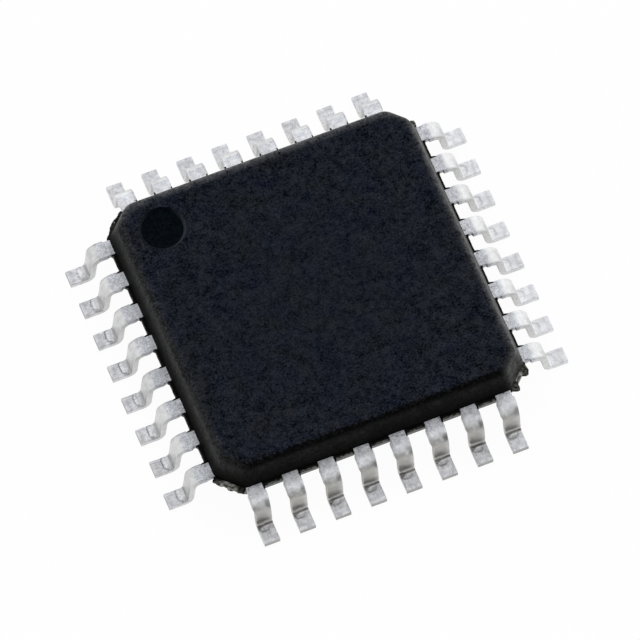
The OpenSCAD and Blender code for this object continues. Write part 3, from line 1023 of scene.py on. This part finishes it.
def shade_and_scratches(tin, rim):
    """Share of dark: painted shade and marks on the strip's top with their strengths, foot scratches and
    root specks.
    """
    stub_edge = tin.ramp(tin.across, -0.185, -0.16, 1, 0)
    # Painted shade and dark marks on the strip's top, each with its strength
    marks = (
        (riser_shade(tin), 1.0),
        (soft_shade(tin), 1.0),
        (crease_shade(tin), 1.0),
        (tin.in_front, tin.band(tin.edge, *BEND_SHADE), 0.35),
        (rim, 0.55),
        (tin.in_front, tin.spot(tin.run, tin.across, *BEND_DARK_SPOT), 0.75),
        (tin.on_left, tin.spot(tin.from_heel, tin.across, *HEEL_SPOT), 0.6),
        # Painted shade at the left row's roots, next to the body
        (tin.on_left, tin.ramp(tin.run, -0.02, 0.1, 1, 0), 0.3),
        (stub_edge, tin.band(tin.run, *STUB_SHADE), 0.22),
        (tin.band(tin.from_heel, *TIP_LINE), 0.2),
    )
    dark = tin.most(0.0, *(tin.times(*factors) for factors in marks))
    dark = tin.times(dark, tin.ramp(tin.blotch, 0.3, 0.6, 0.55, 1.0), tin.ramp(tin.top, 0.6, 0.9))
    lines = tin.times(tin.ramp(tin.scratch, 0.56, 0.66, 0, 0.32), tin.in_row(tin.on_right, 0.45))
    specks = tin.ramp(tin.noise_at(13, 1), 0.62, 0.7, 0, 0.6)
    return tin.most(
        dark,
        tin.times(lines, tin.ramp(tin.run, 0.9, 1.2)),
        tin.times(specks, tin.ramp(tin.run, 0.02, 0.22, 1, 0)),
    )


def foot_flecks(tin):
    """Share of the bright flecks along the foot."""
    flecks = tin.ramp(tin.noise_at(2.3, 1, vector=tin.drawn), 0.62, 0.72, 0, 0.8)
    return tin.times(flecks, tin.ramp(tin.from_heel, -0.05, 0.02))


def tin_material():
    """Matte tin: a pitted shoulder, smooth bends, forming marks at the heel, a scratched foot, and painted
    light and shade.
    """
    tin = Tin()
    rim, punch_highlight = punch_mark(tin)
    # Painted highlight along the front row's heels
    heel_highlight = tin.times(tin.band(tin.from_heel, *HEEL_HIGHLIGHT_BAND), tin.in_front)
    # Painted light on the tin, row by row
    colour = tin.mix(tin.times(painted_shine(tin), 0.45), plain_colour(tin), PAINTED_SHINE)
    colour = tin.scaled(colour, brightness(tin))
    # Layers over the tin: painted reflection on the cut sides, painted shade on the front risers, the punch
    # mark's floor, a painted highlight at the heel, painted shade with marks and scratches, and flecks
    for share, layer in (
        (lit_side_faces(tin), SIDE_FACE_LIGHT),
        (tin.times(front_shade_tint(tin), 0.8), FRONT_SHADE_TINT),
        (punch_highlight, PUNCH_HIGHLIGHT),
        (heel_highlight, HEEL_HIGHLIGHT),
        (shade_and_scratches(tin, rim), SHADE_AND_SCRATCH_DARK),
        (foot_flecks(tin), FLECK),
    ):
        colour = tin.mix(share, colour, layer)
    roughness = tin.plus(tin.ramp(tin.pitted, 0, 1, 0.48, 0.6), tin.spread(tin.fine, -0.07, 0.07))
    strength = tin.ramp(tin.pitted, 0, 1, 0.3, 0.7)
    return tin.finish(colour, roughness, (tin.fine, strength, 0.008), metallic=1.0)


SHEARED_DARK = (0.36, 0.355, 0.345, 1)
SHEARED_PALE = (0.5, 0.493, 0.48, 1)
UPRIGHT_STREAKS = (40, 40, 8)


def trimmed_end_material():
    """The sheared end of a lead: tin smeared over copper alloy, in upright streaks."""
    look = Look("trimmed_end")
    upright = look.vectors("MULTIPLY", look.place, UPRIGHT_STREAKS)
    streak = look.noise_at(1.0, vector=upright)
    colour = look.mix(look.ramp(streak, 0.35, 0.65), SHEARED_DARK, SHEARED_PALE)
    return look.finish(colour, look.spread(streak, 0.42, 0.58), (streak, 0.4, 0.006), metallic=1.0)


# Finishes of the solids inside the body: name, dark and light colour, features, metal, roughness
INNER_FINISHES = {
    "die_pad": ("cut_copper_alloy", (0.03, 0.029, 0.028, 1), (0.42, 0.41, 0.39, 1), 18, 0.7, 0.6),
    "die_attach": ("silver_adhesive", (0.42, 0.42, 0.41, 1), (0.58, 0.58, 0.57, 1), 30, 0.0, 0.6),
    "die": ("silicon", (0.1, 0.11, 0.14, 1), (0.16, 0.17, 0.2, 1), 12, 0.6, 0.25),
    "bond_wires": ("gold_wire", (0.75, 0.5, 0.2, 1), (0.9, 0.65, 0.28, 1), 40, 1.0, 0.25),
}


def mottled_material(name, dark, light, scale, metallic, roughness):
    """A plain inner material with fine mottling in its colour, roughness and surface."""
    look = Look(name)
    mottle = look.noise_at(scale, 4)
    colour = look.mix(look.ramp(mottle, 0.35, 0.65), dark, light)
    rough = look.spread(mottle, roughness - 0.08, roughness + 0.08)
    return look.finish(colour, rough, (mottle, 0.4, 0.01), metallic=metallic)


def dress_inner_nodes():
    """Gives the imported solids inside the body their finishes. The tie bars' cut ends show."""
    for name, finish in INNER_FINISHES.items():
        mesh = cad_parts[name].data
        mesh.materials.clear()
        mesh.materials.append(mottled_material(*finish))


# Studio

AZIMUTH = math.radians(-20.63)
ELEVATION = math.radians(63.85)
ROLL = math.radians(-1.57)
DISTANCE = 245.8
AIM_RIGHT = 0.08
AIM_UP = -0.028
PIXELS = 640
PIXELS_PER_MM = 47.55
SENSOR = 36.0
NEAREST = 10
FARTHEST = 4000

FLOOR_W = 1200
FLOOR_STEPS = 4
FLOOR_DROP = 0.01
BOARD_DULL = (0.88, 0.88, 0.885, 1)
BOARD_PALE = (0.92, 0.92, 0.92, 1)
WHITE = (1, 1, 1, 1)
WHITE_SEEN = 0.96
WHITE_REFLECTED = 0.7

SKY_COLOUR = (0.97, 0.985, 1.0, 1)
SKY_LEVEL = 1.0
SKY_RIGHT = 0.17
SKY_BACK = 0.42
SKY_TOP = 0.9

LAMPS = (("key_lamp", (250, 110, 110), 0.03), ("side_lamp", (-270, 60, 110), 0.02))  # name, place and watts
LAMP_SIZE = 160
LAMP_COLOUR = (1.0, 0.985, 0.96)


def floor_material():
    """White board: it shows white to the camera, partly in reflections, and keeps some of the shadow."""
    look = Look("white_board")
    fibre = look.noise_at(3, 4)
    board = look.mix(look.spread(fibre, 0, 1), BOARD_DULL, BOARD_PALE)
    lit = look.add("ShaderNodeBsdfDiffuse", {"Color": board})
    glow = look.add("ShaderNodeEmission", {"Color": WHITE, "Strength": 1.0})
    path = look.add("ShaderNodeLightPath").outputs
    seen = look.most(path["Is Camera Ray"], path["Is Transmission Ray"])
    share = look.most(look.times(seen, WHITE_SEEN), look.times(path["Is Glossy Ray"], WHITE_REFLECTED))
    surface = look.add("ShaderNodeMixShader", {0: share, 1: lit.outputs[0], 2: glow.outputs[0]})
    look.add("ShaderNodeOutputMaterial", {"Surface": surface.outputs[0]})
    return look.material


def add_floor():
    """A wide white panel of a small grid, just under the feet."""
    row = FLOOR_STEPS + 1
    places = [(step / FLOOR_STEPS - 0.5) * FLOOR_W * MM for step in range(row)]
    faces = [
        (j * row + i, j * row + i + 1, (j + 1) * row + i + 1, (j + 1) * row + i)
        for j in range(FLOOR_STEPS) for i in range(FLOOR_STEPS)
    ]
    mesh = bpy.data.meshes.new("floor")
    mesh.from_pydata([(x, y, 0) for y in places for x in places], [], faces)
    mesh.materials.append(floor_material())
    panel = bpy.data.objects.new("floor", mesh)
    panel.location.z = -FLOOR_DROP * MM
    bpy.context.scene.collection.objects.link(panel)


def add_lamp(name, place, power):
    """A soft square lamp that faces the part."""
    data = bpy.data.lights.new(name, "AREA")
    data.shape = "SQUARE"
    data.size = LAMP_SIZE * MM
    data.energy = power
    data.color = LAMP_COLOUR
    lamp = bpy.data.objects.new(name, data)
    lamp.location = Vector(place) * MM
    lamp.rotation_mode = "QUATERNION"
    lamp.rotation_quaternion = (-lamp.location).to_track_quat("-Z", "Y")
    lamp.visible_camera = False
    bpy.context.scene.collection.objects.link(lamp)


def add_sky():
    """Soft light from all round the part, strongest behind it and on the right, and weakest in front."""
    world = bpy.data.worlds.new("studio")
    bpy.context.scene.world = world
    world.use_nodes = True
    sky = Nodes(world.node_tree)
    x, y, z = sky.split(sky.add("ShaderNodeTexCoord").outputs["Generated"])
    level = sky.plus(sky.times(x, SKY_RIGHT), SKY_LEVEL, sky.times(y, SKY_BACK))
    level = sky.times(level, sky.ramp(z, 0.5, 0.9, 1, SKY_TOP))
    soft = sky.add("ShaderNodeBackground", {"Color": SKY_COLOUR, "Strength": level})
    sky.add("ShaderNodeOutputWorld", {"Surface": soft.outputs[0]})


def add_camera():
    """The photograph's camera: its axes, its distance, and a small aim off the middle of the part."""
    level_out = math.cos(ELEVATION)
    back = Vector((math.sin(AZIMUTH) * level_out, -math.cos(AZIMUTH) * level_out, math.sin(ELEVATION)))
    level = Vector((math.cos(AZIMUTH), math.sin(AZIMUTH), 0))
    upright = back.cross(level)
    right = level * math.cos(ROLL) + upright * math.sin(ROLL)
    up = upright * math.cos(ROLL) - level * math.sin(ROLL)
    place = (back * DISTANCE + right * AIM_RIGHT + up * AIM_UP) * MM
    data = bpy.data.cameras.new("photo_camera")
    data.sensor_width = SENSOR
    data.lens = SENSOR * PIXELS_PER_MM * DISTANCE / PIXELS
    data.clip_start = NEAREST * MM
    data.clip_end = FARTHEST * MM
    camera = bpy.data.objects.new("photo_camera", data)
    camera.matrix_world = Matrix.Translation(place) @ Matrix((right, up, back)).transposed().to_4x4()
    bpy.context.scene.collection.objects.link(camera)
    bpy.context.scene.camera = camera


def main():
    """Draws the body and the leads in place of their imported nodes, and sets the stage."""
    rng = random.Random(SEED)
    body = package_body([
        moulding_top_material(), moulding_wall_material(), moulding_recess_material(),
        broken_resin_material(), moulding_lower_material(),
    ])
    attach(body, "root")
    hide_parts("package_body")
    tin = [tin_material(), trimmed_end_material()]
    for index, node in enumerate(lead_names):
        piece = lead(node.replace("lead", "formed_lead"), index, tin, rng)
        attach(piece, "root")
        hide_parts(node)
    dress_inner_nodes()
    add_floor()
    add_sky()
    for lamp in LAMPS:
        add_lamp(*lamp)
    add_camera()
    bpy.context.scene.view_settings.view_transform = "Standard"


main()
